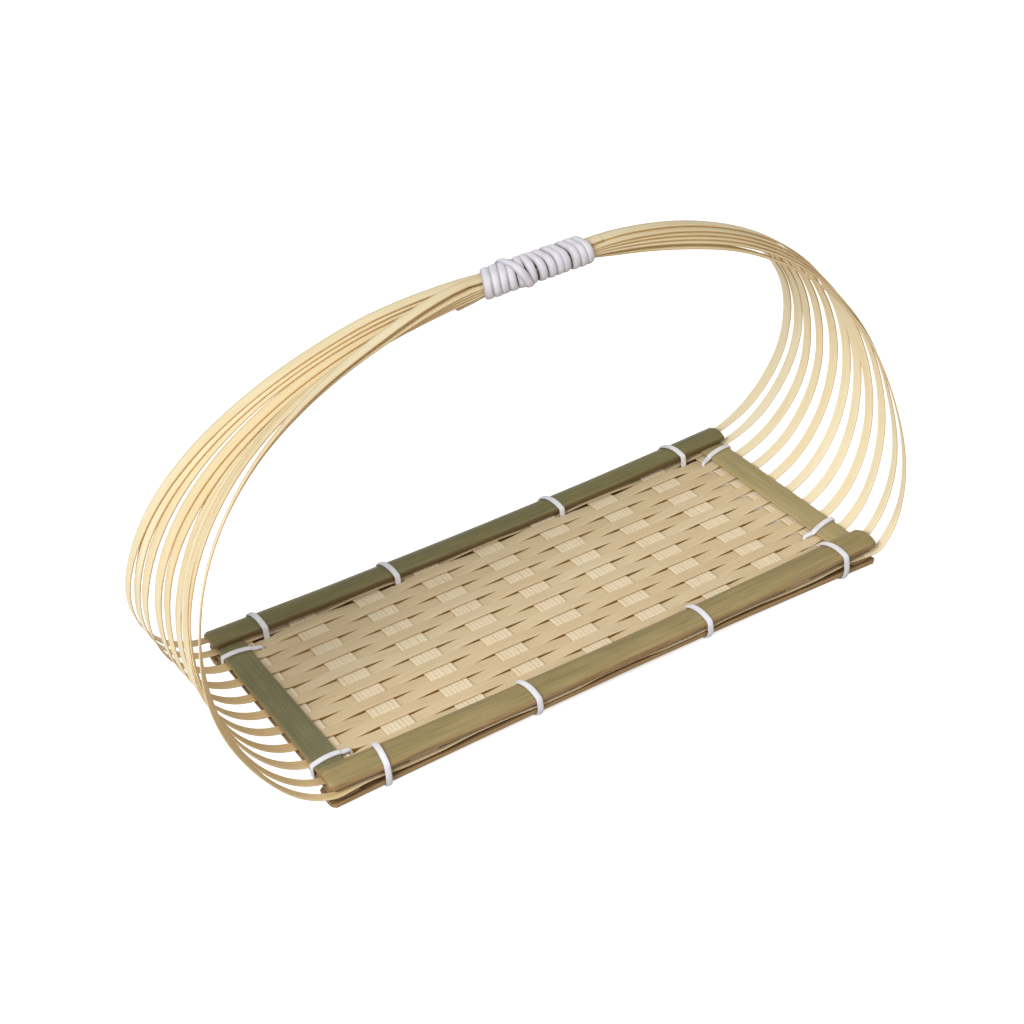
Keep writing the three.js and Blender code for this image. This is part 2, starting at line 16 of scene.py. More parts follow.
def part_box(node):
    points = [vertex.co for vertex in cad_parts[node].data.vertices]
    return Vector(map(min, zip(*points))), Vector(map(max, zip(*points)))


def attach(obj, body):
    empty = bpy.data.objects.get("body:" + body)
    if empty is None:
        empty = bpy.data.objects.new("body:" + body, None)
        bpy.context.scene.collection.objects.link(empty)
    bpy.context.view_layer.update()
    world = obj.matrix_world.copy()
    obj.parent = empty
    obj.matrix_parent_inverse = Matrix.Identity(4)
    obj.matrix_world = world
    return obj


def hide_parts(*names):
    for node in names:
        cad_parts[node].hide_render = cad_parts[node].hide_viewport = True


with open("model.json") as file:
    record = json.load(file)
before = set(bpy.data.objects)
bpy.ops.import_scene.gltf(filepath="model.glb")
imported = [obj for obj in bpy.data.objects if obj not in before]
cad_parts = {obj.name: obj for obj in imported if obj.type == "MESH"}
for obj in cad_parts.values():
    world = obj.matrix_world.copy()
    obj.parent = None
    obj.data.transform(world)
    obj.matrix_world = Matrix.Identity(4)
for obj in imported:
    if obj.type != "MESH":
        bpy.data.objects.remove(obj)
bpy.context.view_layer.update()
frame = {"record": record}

MM = 0.001
Point = namedtuple("Point", "centre towards wide high")


def node_box(node):
    low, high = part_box(node)
    return low / MM, high / MM


def middle(node):
    low, high = node_box(node)
    return (low + high) / 2


# Places taken from the frame
mat_z = middle("cross_bundle_05").z
bar_low, bar_high = node_box("top_crossbar_right")
bar_x = (bar_low.x + bar_high.x) / 2
bar_width = bar_high.x - bar_low.x
bar_length = bar_high.y - bar_low.y
bar_base = bar_low.z - mat_z
bar_height = bar_high.z - bar_low.z
rail_low, rail_high = node_box("top_rail_back")
rail_length = rail_high.x - rail_low.x
rail_inner_y = rail_low.y
bundle_names = [f"cross_bundle_{i:02d}" for i in range(1, 10)]
bundle_xs = [middle(name).x for name in bundle_names]
bundle_low, bundle_high = node_box("cross_bundle_05")
bundle_width = bundle_high.x - bundle_low.x
bundle_length = bundle_high.y - bundle_low.y
wrap_low, wrap_high = node_box("grip_winding")
grip_x = (wrap_low.x + wrap_high.x) / 2
grip_z = (wrap_low.z + wrap_high.z) / 2

# Rails and crossbars
rail_wall = 2.2
rail_crown = 2.1
rail_hollow = 0.7
bar_crown = 0.8
bar_hollow = 0.12
bar_wall = bar_height - bar_crown
edge_round = 0.35
worn_length = 1.6

# Strips of the mat and staves of the handle
clearance = 0.3
layer_gap = 0.3
strip_thick = 0.6
strip_gap = 0.82
open_strips = 7
rail_strips = 3
rail_strip_width = 4.7
rail_strip_gap = 0.15
slot_inside = 0.98
slot_room = 0.25
push_reach = 1.9
push_fade = 2.6
shown_gap = 0.2
exit_rise = 0.9
weave_rise = 0.55
short_strip_end = bar_x + 4.5

# Splints of the cross bundles
splints_per_bundle = 7
splint_thick = 0.5
splint_rise = 0.32
splint_gap = 0.06

# Handle, with the left end first where its two ends differ
exit_angles = (9, 22)
exit_reaches = (54, 61.5)
shoulder_xs = (208, 193.65)
shoulder_drop = 7.3
exit_bend_radius = 12
exit_bend_x = bar_x + bar_width / 2 - 1.2
closing = 0.887
winding_pitch = 3.75
winding_turns = 13
winding_length = winding_pitch * winding_turns
grip_straight = 2
grip_strip_width = 5.6
shave_length = 60
loose_layer_pitch = 1.15
layers_apart = 0.4
widen_share = 0.12
fan_pitch = 1.24
upper_stub = 7
lower_stub = 18
stub_y = -1
fuller_pitch = 0.4
fuller_place = (0, 12, 16, 60)
side_sway = 0.9
lift_sway = 0.8
twist = 0.1
left_front_turn = math.radians(-28)
right_front_turn = math.radians(30)
arch_thick = 0.95
# how far the staves of the left end lean to the back in the middle of the arch, from the back
left_sideways = (-0.3, 0.5, 1.4, -1.6, -1.2, 0, 1.2, 1.9, 2.4, -2.0, -3.0)

# Cord
cord_clearance = 0.06
tie_width = 3.0
tie_thick = 1.2
thread_gap = 1.3
thread_width = 1.9
thread_thick = 1.4
thread_out = 1.4
thread_up = 0.85
bend_width = 2.6
winding_width = 4.15
winding_thick = 2.1
winding_corner = 4.2
lean = 0.55
lean_length = 30
left_turns_out = 2.5
crossing_turns = (0.3, 1.05)
crossing_places = (8, 22)
crossing_lift = 0.55

# Places across the tray
slot_y = rail_inner_y - slot_inside
strip_pitch = slot_y / (open_strips + 0.5)
strip_width = strip_pitch - strip_gap
mat_strip_width = strip_pitch - shown_gap
rail_strip_y = rail_inner_y + rail_strip_width / 2
rail_strip_pitch = rail_strip_width + rail_strip_gap
last_strip = open_strips + rail_strips
last_stave = last_strip // 2
exit_spread = 1.5
end_bundle_x = bundle_xs[-1]
bundle_pitch = bundle_xs[1] - bundle_xs[0]
thread_x = end_bundle_x - bundle_width / 2 - clearance - 1.0


def tie_place(side, bundle, gap, slant):
    """A rail lashing's side, and where it lies at the rails' inner and outer edges"""
    beside = math.copysign((bundle_width + tie_width) / 2, gap) + gap
    inner_x = bundle * bundle_pitch + beside
    return side, inner_x, inner_x + slant


# Rail lashings: side, the bundle beside which each goes down, how far beside it, and its slant
rail_ties = {
    "rail_tie_front_1": tie_place(-1, -4, 8, -2.2),
    "rail_tie_front_2": tie_place(-1, -1, -2.9, 1.2),
    "rail_tie_front_3": tie_place(-1, 1, 4.8, 1.1),
    "rail_tie_front_4": tie_place(-1, 4, -0.7, 2.2),
    "rail_tie_back_1": tie_place(1, -4, 5.4, -2),
    "rail_tie_back_2": tie_place(1, -1, -7.6, -2.6),
    "rail_tie_back_3": tie_place(1, 1, 2.2, -3.5),
    "rail_tie_back_4": tie_place(1, 4, -7.1, -4.2),
}
# Crossbar lashings: end, side, and where each goes through the mat and lies over the inner and
# the outer edge, counted in strips
bar_ties = {
    "crossbar_tie_left_front": (-1, -1, 6.5, 6.55, 6.71),
    "crossbar_tie_left_back": (-1, 1, 6.5, 6.5, 6.71),
    "crossbar_tie_right_front": (1, -1, 5.5, 5.65, 5.12),
    "crossbar_tie_right_back": (1, 1, 6.5, 6.75, 7.12),
}

# Heights above the mat
mat_top = exit_rise + strip_thick / 2
rail_base_middle = mat_top + clearance
rail_base_end = bar_base + bar_height + clearance
tie_offset = tie_thick / 2 + cord_clearance


def smooth_step(t):
    s = min(max(t, 0.0), 1.0)
    return s * s * (3 - 2 * s)


def rise_and_fall(t, start, rise, turning, fall):
    """From 0 up to 1 over rise, past start, and back to 0 over fall, past turning"""
    return smooth_step((t - start) / rise) * (1 - smooth_step((t - turning) / fall))


def mix(a, b, t):
    return a + (b - a) * t


def wave(seed, t, reach):
    """A slow, irregular wave between about -1 and 1, the same on each run"""
    numbers = random.Random(seed)
    total = 0.0
    for size in (1.0, 0.55, 0.35):
        phase = numbers.uniform(0, 2 * math.pi)
        stretch = numbers.uniform(0.75, 1.3) / size
        total += size * math.sin(phase + 2 * math.pi * t * stretch / reach)
    return total / 1.9


def rail_base(x):
    return mix(rail_base_middle, rail_base_end, (x / bar_x) ** 2)


# Outlines, counter-clockwise, as places across and up
def strip_outline(wide, high):
    """A thin strip with a faint crown and worn edges"""
    points = []
    half_wide, half_high = wide / 2, high / 2
    worn = min(0.22, half_high)
    for sign in (-1, 1):
        faces = [(-half_wide + worn, half_high * 0.94), (-wide / 6, half_high)]
        faces += [(wide / 6, half_high), (half_wide - worn, half_high * 0.94)]
        for across, up in faces:
            points.append((-sign * across, sign * up))
        points.append((-sign * (half_wide - worn * 0.3), sign * half_high * 0.62))
        points.append((-sign * half_wide, sign * half_high * 0.1))
    return points


def splint_outline(wide, high):
    points = []
    inner_wide, inner_high = wide / 2 - 0.16, high / 2 - 0.07
    for across, up in ((1, -1), (1, 1), (-1, 1), (-1, -1)):
        side = (across * wide / 2, up * inner_high)
        face = (across * inner_wide, up * high / 2)
        points += [face, side] if across * up < 0 else [side, face]
    return points


def cord_outline(wide, high):
    points = []
    for i in range(16):
        angle = 2 * math.pi * i / 16
        across = math.copysign(abs(math.cos(angle)) ** 0.8, math.cos(angle))
        up = math.copysign(abs(math.sin(angle)) ** 0.8, math.sin(angle))
        points.append((across * wide / 2, up * high / 2))
    return points


def round_cord_outline(wide, high):
    points = []
    for i in range(16):
        angle = 2 * math.pi * i / 16
        points.append((math.cos(angle) * wide / 2, math.sin(angle) * high / 2))
    return points


def arc(width, base, crown, steps):
    radius = ((width / 2) ** 2 + crown**2) / (2 * abs(crown))
    half_angle = math.asin(width / 2 / radius)
    points = []
    for i in range(steps + 1):
        angle = mix(half_angle, -half_angle, i / steps)
        rise = radius * (math.cos(angle) - math.cos(half_angle))
        points.append((radius * math.sin(angle), base + math.copysign(rise, crown)))
    return points


def culm_outline(wide, wall, crown, hollow):
    """Split culm: round skin above, hollowed face below, with slightly broken edges"""
    r = edge_round
    skin = arc(wide - 2 * r, wall + r * 0.3, crown - r * 0.3, 20)
    inside = arc(wide - 2 * r, 0, hollow, 10)[::-1]
    right = [(wide / 2, r), (wide / 2, wall - r)]
    left = [(-wide / 2, wall - r), (-wide / 2, r)]
    return right + skin + left + inside


def scaled(outline):
    return lambda wide, high: [(across * wide, up * high) for across, up in outline]


# How many faces of a culm's outline show its skin, without and with its second side
ONE_SIDE, BOTH_SIDES = 22, 24
# The faces of a strip's outline that lie on its upper side, which is the handle's inner side
INNER_FACES = (6, 7, 8)


def frames_along(points, closed=False):
    """Directions at each point: across stays as near to towards as the line allows"""
    frames = []
    last = len(points) - 1
    for i, point in enumerate(points):
        before = points[i - 1] if closed or i else point
        after = points[(i + 1) % len(points)] if closed or i < last else point
        along = (after.centre - before.centre).normalized()
        across = (point.towards - along * point.towards.dot(along)).normalized()
        frames.append((point, across, along.cross(across)))
    return frames


class Surface:
    """Collects vertices, faces, and for each face corner the grain and tone coordinates"""

    def __init__(self, seed):
        numbers = random.Random(seed)
        self.offset = Vector((numbers.uniform(0, 900), numbers.uniform(0, 300)))
        self.tone = numbers.random()
        self.verts = []
        self.faces = []
        self.grain = []
        self.tones = []
        self.kinds = []

    def face(self, corners, grain, across, kind=0):
        self.faces.append(corners)
        self.grain.extend((u + self.offset.x, v + self.offset.y) for u, v in grain)
        self.tones.extend((self.tone, value) for value in across)
        self.kinds.append(kind)

    def sweep(self, points, outline, closed=False, kind_of=lambda point, k: 0):
        """An outline swept along points. The outline is called with each point's sizes."""
        start = len(self.verts)
        rings = [outline(point.wide, point.high) for point in points]
        count = len(rings[0])
        around = [0.0]
        for k in range(count):
            a, b = rings[0][k], rings[0][(k + 1) % count]
            around.append(around[-1] + math.dist(a, b))
        run = [0.0]
        for a, b in zip(points, points[1:] + points[:1]):
            run.append(run[-1] + (b.centre - a.centre).length)
        for (point, across, up), ring in zip(frames_along(points, closed), rings):
            self.verts.extend(point.centre + across * a + up * b for a, b in ring)
        half = max(abs(a) for a, _ in rings[0])
        share = [ring_point[0] / half for ring_point in rings[0]]
        spans = len(points) if closed else len(points) - 1
        for i in range(spans):
            here = start + i * count
            then = start + (i + 1) % len(points) * count
            for k in range(count):
                m = (k + 1) % count
                corners = (here + k, here + m, then + m, then + k)
                places = ((run[i], around[k]), (run[i], around[k + 1]))
                places += ((run[i + 1], around[k + 1]), (run[i + 1], around[k]))
                kind = kind_of(points[i], k)
                self.face(corners, places, (share[k], share[m], share[m], share[k]), kind)
        if not closed:
            for at, order in ((0, -1), (len(points) - 1, 1)):
                keys = list(range(count))[::order]
                corners = tuple(start + at * count + k for k in keys)
                self.face(corners, [rings[at][k] for k in keys], [share[k] for k in keys], 1)

    def piece(self, name, materials, nodes, slot):
        """Makes the object, in metres, and gives it its place in the frame"""
        mesh = bpy.data.meshes.new(name)
        mesh.from_pydata([tuple(v * MM) for v in self.verts], [], self.faces)
        for layer_name, values in (("grain", self.grain), ("tone", self.tones)):
            layer = mesh.uv_layers.new(name=layer_name)
            layer.uv.foreach_set("vector", [x for pair in values for x in pair])
        for material in materials:
            mesh.materials.append(material)
        kinds = [min(kind, len(materials) - 1) for kind in self.kinds]
        mesh.polygons.foreach_set("material_index", kinds)
        mesh.polygons.foreach_set("use_smooth", [True] * len(self.faces))
        mesh.set_sharp_from_angle(angle=math.radians(50))
        mesh.update()
        piece = bpy.data.objects.new(name, mesh)
        bpy.context.scene.collection.objects.link(piece)
        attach(piece, "root")
        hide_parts(*nodes)
        return piece


# Materials
class Nodes:
    """A material's node tree, with short calls for the nodes used here"""

    def __init__(self, name):
        self.material = bpy.data.materials.new(name)
        self.material.use_nodes = True
        self.tree = self.material.node_tree
        self.shader = self.tree.nodes["Principled BSDF"]

    def add(self, kind, **settings):
        node = self.tree.nodes.new("ShaderNode" + kind)
        for key, value in settings.items():
            setattr(node, key, value)
        return node

    def feed(self, socket, value):
        if isinstance(value, bpy.types.NodeSocket):
            self.tree.links.new(value, socket)
        else:
            socket.default_value = value

    def uv(self, name):
        return self.add("UVMap", uv_map=name).outputs["UV"]

    def noise(self, vector, scale, detail=3.0, roughness=0.55):
        """Noise over a vector stretched by scale, one number for each axis"""
        mapping = self.add("Mapping")
        self.feed(mapping.inputs["Vector"], vector)
        mapping.inputs["Scale"].default_value = scale
        noise = self.add("TexNoise")
        self.feed(noise.inputs["Vector"], mapping.outputs["Vector"])
        noise.inputs["Scale"].default_value = 1.0
        noise.inputs["Detail"].default_value = detail
        noise.inputs["Roughness"].default_value = roughness
        return noise.outputs["Fac"]

    def ramp(self, value, stops):
        """Colours or greys at places from 0 to 1"""
        ramp = self.add("ValToRGB")
        elements = ramp.color_ramp.elements
        while len(elements) < len(stops):
            elements.new(1.0)
        for element, (place, colour) in zip(elements, stops):
            element.position = place
            if isinstance(colour, (int, float)):
                colour = (colour, colour, colour)
            element.color = (*colour, 1.0)
        self.feed(ramp.inputs["Fac"], value)
        return ramp.outputs["Color"]

    def blend(self, factor, first, second):
        """From the first colour to the second, as the factor goes from 0 to 1"""
        node = self.add("Mix", data_type="RGBA")
        self.feed(node.inputs["Factor"], factor)
        colours = [socket for socket in node.inputs if socket.type == "RGBA"]
        for socket, value in zip(colours, (first, second)):
            is_socket = isinstance(value, bpy.types.NodeSocket)
            self.feed(socket, value if is_socket else (*value, 1.0))
        return [socket for socket in node.outputs if socket.type == "RGBA"][0]

    def maths(self, operation, first, second=0.0):
        node = self.add("Math", operation=operation)
        self.feed(node.inputs[0], first)
        self.feed(node.inputs[1], second)
        return node.outputs["Value"]

    def part(self, vector, axis):
        node = self.add("SeparateXYZ")
        self.feed(node.inputs["Vector"], vector)
        return node.outputs[axis]

    def bump(self, heights):
        """Bumps on each other, as (height, depth in mm)"""
        normal = None
        for height, depth in heights:
            bump = self.add("Bump")
            bump.inputs["Strength"].default_value = 1.0
            bump.inputs["Distance"].default_value = depth * MM
            self.feed(bump.inputs["Height"], height)
            if normal is not None:
                self.feed(bump.inputs["Normal"], normal)
            normal = bump.outputs["Normal"]
        self.feed(self.shader.inputs["Normal"], normal)


def srgb(red, green, blue):
    """A colour as picked on a screen, 0 to 255, made linear"""
    def linear(value):
        c = value / 255
        return c / 12.92 if c <= 0.04045 else ((c + 0.055) / 1.055) ** 2.4

    return tuple(linear(value) for value in (red, green, blue))


def pale_bamboo(name, pale, warm, dark, edge, roughness, ridge):
    """Shaved bamboo: fibres along its length, soft patches and browner side faces that paint the
    shade in the gaps between strips
    """
    n = Nodes(name)
    grain = n.uv("grain")
    tone = n.uv("tone")
    fibres = n.noise(grain, (0.035, 1.7, 1.0), 4.0, 0.62)
    threads = n.noise(grain, (0.12, 6.5, 1.0), 2.0, 0.5)
    patches = n.noise(grain, (0.02, 0.09, 1.0), 2.0, 0.5)
    own = n.blend(n.ramp(n.part(tone, "X"), [(0.1, 0.0), (0.9, 1.0)]), pale, warm)
    body = n.blend(n.ramp(patches, [(0.36, 0.0), (0.66, 0.75)]), own, warm)
    streaked = n.blend(n.ramp(fibres, [(0.5, 0.0), (0.78, 0.6)]), body, dark)
    lined = n.blend(n.ramp(threads, [(0.58, 0.0), (0.75, 0.35)]), streaked, dark)
    # The edge colour on the side faces is painted shade for the gaps and steps between strips and
    # splints; worn only roughens its border.
    side = n.maths("ABSOLUTE", n.part(tone, "Y"))
    worn = n.maths("MULTIPLY", fibres, 0.03)
    rim = n.ramp(n.maths("ADD", side, worn), [(0.95, 0.0), (1.0, 0.7)])
    n.feed(n.shader.inputs["Base Color"], n.blend(rim, lined, edge))
    rough = n.ramp(fibres, [(0.3, roughness - 0.06), (0.7, roughness + 0.08)])
    n.feed(n.shader.inputs["Roughness"], n.part(rough, "X"))
    n.shader.inputs["Specular IOR Level"].default_value = 0.4
    n.bump([(fibres, ridge), (threads, ridge * 0.4)])
    return n.material


def culm_skin(name, olive, light, dark, edge, roughness):
    """The culm's waxy outer skin: dense fine streaks, dull patches and an edge colour of its own
    """
    n = Nodes(name)
    grain = n.uv("grain")
    tone = n.uv("tone")
    streaks = n.noise(grain, (0.02, 1.3, 1.0), 5.0, 0.68)
    fine = n.noise(grain, (0.06, 5.5, 1.0), 3.0, 0.6)
    patches = n.noise(grain, (0.03, 0.16, 1.0), 3.0, 0.6)
    specks = n.noise(grain, (0.5, 1.2, 1.0), 2.0, 0.5)
    body = n.blend(n.ramp(patches, [(0.38, 0.0), (0.64, 0.8)]), olive, light)
    streaked = n.blend(n.ramp(streaks, [(0.48, 0.0), (0.74, 0.75)]), body, dark)
    pale_lines = n.blend(n.ramp(fine, [(0.55, 0.0), (0.8, 0.4)]), streaked, light)
    spotted = n.blend(n.ramp(specks, [(0.68, 0.0), (0.76, 0.35)]), pale_lines, dark)
    # The edge colour is paler scraped skin on the crossbars; on the rails it is a darker brown,
    # painted shade along their sides.
    side = n.maths("ABSOLUTE", n.part(tone, "Y"))
    ragged = n.maths("ADD", side, n.maths("MULTIPLY", streaks, 0.08))
    rim = n.ramp(ragged, [(0.93, 0.0), (1.03, 0.85)])
    n.feed(n.shader.inputs["Base Color"], n.blend(rim, spotted, edge))
    rough = n.ramp(patches, [(0.35, roughness - 0.07), (0.65, roughness + 0.1)])
    n.feed(n.shader.inputs["Roughness"], n.part(rough, "X"))
    n.shader.inputs["Specular IOR Level"].default_value = 0.45
    n.bump([(streaks, 0.1), (fine, 0.035)])
    return n.material


def culm_inside(name, pale, brown, dark):
    """The culm's woody wall and inner face: coarse fibres, orange-brown where it was split"""
    n = Nodes(name)
    grain = n.uv("grain")
    fibres = n.noise(grain, (0.03, 1.6, 1.0), 5.0, 0.7)
    patches = n.noise(grain, (0.03, 0.25, 1.0), 3.0, 0.6)
    body = n.blend(n.ramp(patches, [(0.35, 0.0), (0.65, 0.9)]), pale, brown)
    streaked = n.blend(n.ramp(fibres, [(0.46, 0.0), (0.7, 0.75)]), body, dark)
    n.feed(n.shader.inputs["Base Color"], streaked)
    n.shader.inputs["Roughness"].default_value = 0.72
    n.bump([(fibres, 0.14)])
    return n.material


def cotton(name, white, shade, dark, sides):
    """Smooth white cord: fine yarns that run round it at a slant, painted crease shade between
    them and painted shade at its sides
    """
    n = Nodes(name)
    grain = n.uv("grain")
    along = n.part(grain, "X")
    around = n.part(grain, "Y")
    slant = n.maths("ADD", n.maths("MULTIPLY", along, 1.15), around)
    fuzz = n.noise(grain, (1.6, 1.6, 1.0), 3.0, 0.6)
    wobble = n.maths("ADD", slant, n.maths("MULTIPLY", fuzz, 0.35))
    yarn = n.maths("ABSOLUTE", n.maths("SINE", n.maths("MULTIPLY", wobble, math.pi)))
    soil = n.noise(grain, (0.12, 0.3, 1.0), 2.0, 0.5)
    body = n.blend(n.ramp(soil, [(0.4, 0.0), (0.7, 0.5)]), white, shade)
    # Darker lines between the yarns: painted crease shade.
    yarns = n.blend(n.ramp(yarn, [(0.0, 0.45), (0.35, 0.0)]), body, shade)
    # Darker towards the cord's sides: painted shade, as much as the last argument asks.
    side = n.maths("ABSOLUTE", n.part(n.uv("tone"), "Y"))
    painted_side_shade = n.ramp(side, [(0.5, 0.0), (1.0, sides)])
    n.feed(n.shader.inputs["Base Color"], n.blend(painted_side_shade, yarns, dark))
    n.shader.inputs["Roughness"].default_value = 0.78
    n.shader.inputs["Specular IOR Level"].default_value = 0.3
    n.shader.inputs["Sheen Weight"].default_value = 0.15
    n.bump([(yarn, 0.05), (fuzz, 0.05)])
    return n.material


# The fourth colour of each bamboo is its edge colour: painted shade on the side faces.
strip_bamboo = pale_bamboo(
    "strip_bamboo", srgb(226, 208, 172), srgb(218, 196, 156), srgb(196, 166, 120),
    srgb(182, 146, 96), 0.55, 0.05,
)
stave_bamboo = pale_bamboo(
    "stave_bamboo", srgb(242, 231, 197), srgb(233, 212, 166), srgb(204, 168, 114),
    srgb(190, 146, 94), 0.45, 0.035,
)
# Shaded and lit copies of the stave bamboo for the handle's inner faces: golden painted shade at
# the left end, paler painted light at the right end.
left_inner_painted_shade = pale_bamboo(
    "left_inner_painted_shade", srgb(234, 210, 162), srgb(224, 192, 138), srgb(190, 146, 90),
    srgb(190, 146, 94), 0.5, 0.04,
)
right_inner_painted_light = pale_bamboo(
    "right_inner_painted_light", srgb(252, 242, 212), srgb(246, 230, 190), srgb(222, 194, 146),
    srgb(196, 156, 106), 0.5, 0.04,
)
splint_bamboo = pale_bamboo(
    "splint_bamboo", srgb(242, 227, 196), srgb(235, 216, 182), srgb(220, 196, 158),
    srgb(228, 205, 168), 0.6, 0.03,
)
# Rail skins end with a darker brown edge colour: painted shade along the rails' sides.
back_rail_skin = culm_skin(
    "back_rail_skin", srgb(118, 114, 72), srgb(136, 126, 84), srgb(80, 76, 42),
    srgb(96, 74, 40), 0.42,
)
front_rail_skin = culm_skin(
    "front_rail_skin", srgb(152, 136, 90), srgb(170, 150, 104), srgb(112, 92, 54),
    srgb(150, 118, 72), 0.48,
)
left_bar_skin = culm_skin(
    "left_bar_skin", srgb(122, 120, 84), srgb(140, 132, 94), srgb(92, 90, 58),
    srgb(160, 138, 92), 0.5,
)
right_bar_skin = culm_skin(
    "right_bar_skin", srgb(168, 154, 108), srgb(182, 166, 120), srgb(136, 120, 78),
    srgb(186, 162, 112), 0.5,
)
culm_wood = culm_inside("culm_wood", srgb(176, 146, 102), srgb(136, 104, 64), srgb(84, 58, 32))
cord_cotton = cotton(
    "cord_cotton", srgb(246, 246, 250), srgb(216, 214, 224), srgb(190, 186, 196), 0.5,
)
# The winding's cord is greyer than the ties' cord, with darker sides: a shaded copy, painted
# shade.
painted_shade_winding_cotton = cotton(
    "painted_shade_winding_cotton", srgb(230, 227, 233), srgb(200, 195, 206), srgb(140, 134, 144), 0.65,
)


# Weave
def strip_y(strip):
    number = abs(strip)
    past = number - open_strips - 1
    y = number * strip_pitch if past < 0 else rail_strip_y + past * rail_strip_pitch
    return math.copysign(y, strip) if strip else 0.0


slots = [(inner, side * slot_y, tie_thick) for side, inner, _ in rail_ties.values()]
for end, side, thread, _, _ in bar_ties.values():
    slots.append((end * thread_x, side * thread * strip_pitch, thread_gap))


def strip_wide(strip):
    return strip_width if abs(strip) <= open_strips else rail_strip_width


def exit_y(strip):
    """Where a strip leaves the tray: the outermost ones turn out a little"""
    turn_out = exit_spread if abs(strip) == last_strip else 0
    return strip_y(strip) + math.copysign(turn_out, strip)


def slot_push(strip, slot):
    """How far a lashing moves a strip to lie clear of it"""
    _, y, thick = slot
    distance = strip_y(strip) - y
    room = abs(distance) - strip_wide(strip) / 2
    return math.copysign(max(thick / 2 + slot_room - room, 0.0), distance)


def strip_push(strip, x):
    push = 0.0
    for slot in slots:
        if abs(strip_y(strip) - slot[1]) < strip_pitch:
            fade = smooth_step((abs(x - slot[0]) - push_reach) / push_fade)
            push += slot_push(strip, slot) * (1 - fade)
    return push


def weave_level(strip, x):
    """1 over a bundle and -1 under it"""
    place = (x + end_bundle_x) / bundle_pitch
    bundle = min(max(math.floor(place), 0), len(bundle_xs) - 2)
    level = (bundle_width / 2 - 0.6) / bundle_pitch
    turn = smooth_step((place - bundle - level) / (1 - 2 * level))
    over = 1 if (strip + bundle) % 2 == 0 else -1
    return over * (1 - 2 * turn)


def strip_rise(strip, x):
    """Height above the mat. At the crossbars the strips lie as far apart as the bars do."""
    at_bar = smooth_step((abs(x) - (bar_x - bar_width)) / (bar_width / 2))
    return weave_level(strip, x) * mix(weave_rise, exit_rise, at_bar)


def flat_point(x, y, z, wide, turn=0.0):
    towards = Vector((0, math.cos(turn), math.sin(turn)))
    return Point(Vector((x, y, z)), towards, wide, strip_thick)


def mat_points(strip, end_x):
    """From the left end to the right end of a strip in the mat"""
    steps = 190
    span = bundle_width / 2 + 0.4
    points = []
    for i in range(steps + 1):
        x = mix(-end_x, end_x, i / steps)
        turn_out = min(max((abs(x) - end_bundle_x + span) / (2 * span), 0), 1)
        push = strip_push(strip, x)
        y = mix(strip_y(strip), exit_y(strip), turn_out) + push
        wide = strip_wide(strip)
        if abs(strip) <= open_strips:
            open_mat = 1 - smooth_step((abs(x) - bar_x + bar_width) / (bar_width / 2))
            wide = mix(wide, mat_strip_width, open_mat) - abs(push) * 0.8
        wide *= 1 + 0.012 * wave(f"width {strip}", x, 90)
        y += 0.12 * wave(f"side {strip}", x, 70)
        turn = 0.012 * wave(f"turn {strip}", x, 60)
        points.append(flat_point(x, y, mat_z + strip_rise(strip, x), wide, turn))
    return points


def mat_strip(number, strip):
    node = f"mat_strip_{number:02d}"
    surface = Surface(node)
    surface.sweep(mat_points(strip, short_strip_end), strip_outline)
    surface.piece(node + "_bamboo", [strip_bamboo], [node], "strip")


def splint_points(bundle, splint, wide):
    """A splint over and under the strips, from the front edge of the mat to the back"""
    from_middle = splint - (splints_per_bundle - 1) / 2
    x = bundle_xs[bundle] + from_middle * bundle_width / splints_per_bundle
    steps = 260
    seed = f"splint {bundle} {splint}"
    levels = [(strip_y(strip), strip) for strip in range(-last_strip, last_strip + 1)]
    points = []
    place = 0
    for i in range(steps + 1):
        y = mix(-bundle_length / 2, bundle_length / 2, i / steps)
        while place < len(levels) - 2 and y > levels[place + 1][0]:
            place += 1
        (low_y, low_strip), (high_y, _) = levels[place], levels[place + 1]
        share = smooth_step(((y - low_y) / (high_y - low_y) - 0.5) / 0.36 + 0.5)
        level = -weave_level(low_strip, bundle_xs[bundle]) * (1 - 2 * share)
        side = 0.1 * wave(seed, y, 60)
        lift = 0.04 * wave(seed + " lift", y, 25)
        centre = Vector((x + side, y, mat_z + level * splint_rise + lift))
        points.append(Point(centre, Vector((-1, 0, 0)), wide, splint_thick))
    return points


def cross_bundle(bundle):
    node = bundle_names[bundle]
    surface = Surface(node)
    wide = bundle_width / splints_per_bundle - splint_gap
    for splint in range(splints_per_bundle):
        surface.offset += Vector((137.0, 11.0))
        surface.sweep(splint_points(bundle, splint, wide), splint_outline)
    surface.piece(node + "_splints", [splint_bamboo], [node], "splint")


# Handle
def side_of(end, values):
    return values[0] if end < 0 else values[1]


def exit_bend(end, share):
    """A place in the bend past the crossbar, as distance from the middle and height"""
    angle = math.radians(side_of(end, exit_angles)) * share
    rise = exit_bend_radius * (1 - math.cos(angle))
    return Vector((exit_bend_x + exit_bend_radius * math.sin(angle), mat_z + exit_rise + rise))


def arch_ends(end):
    """Start, two pulls and end of the handle's line, as distance from the middle and height"""
    angle = math.radians(side_of(end, exit_angles))
    start = exit_bend(end, 1)
    away = Vector((math.cos(angle), math.sin(angle))) * side_of(end, exit_reaches)
    shoulder = Vector((side_of(end, shoulder_xs), grip_z - shoulder_drop))
    finish = Vector((end * grip_x + winding_length / 2 + grip_straight, grip_z))
    return start, start + away, shoulder, finish


def arch_line(end, share):
    """Place and direction on the handle's line"""
    a, b, c, d = arch_ends(end)
    s = 1 - share
    place = a * s**3 + b * 3 * s * s * share + c * 3 * s * share**2 + d * share**3
    slope = (b - a) * 3 * s * s + (c - b) * 6 * s * share + (d - c) * 3 * share**2
    return place, slope.normalized()


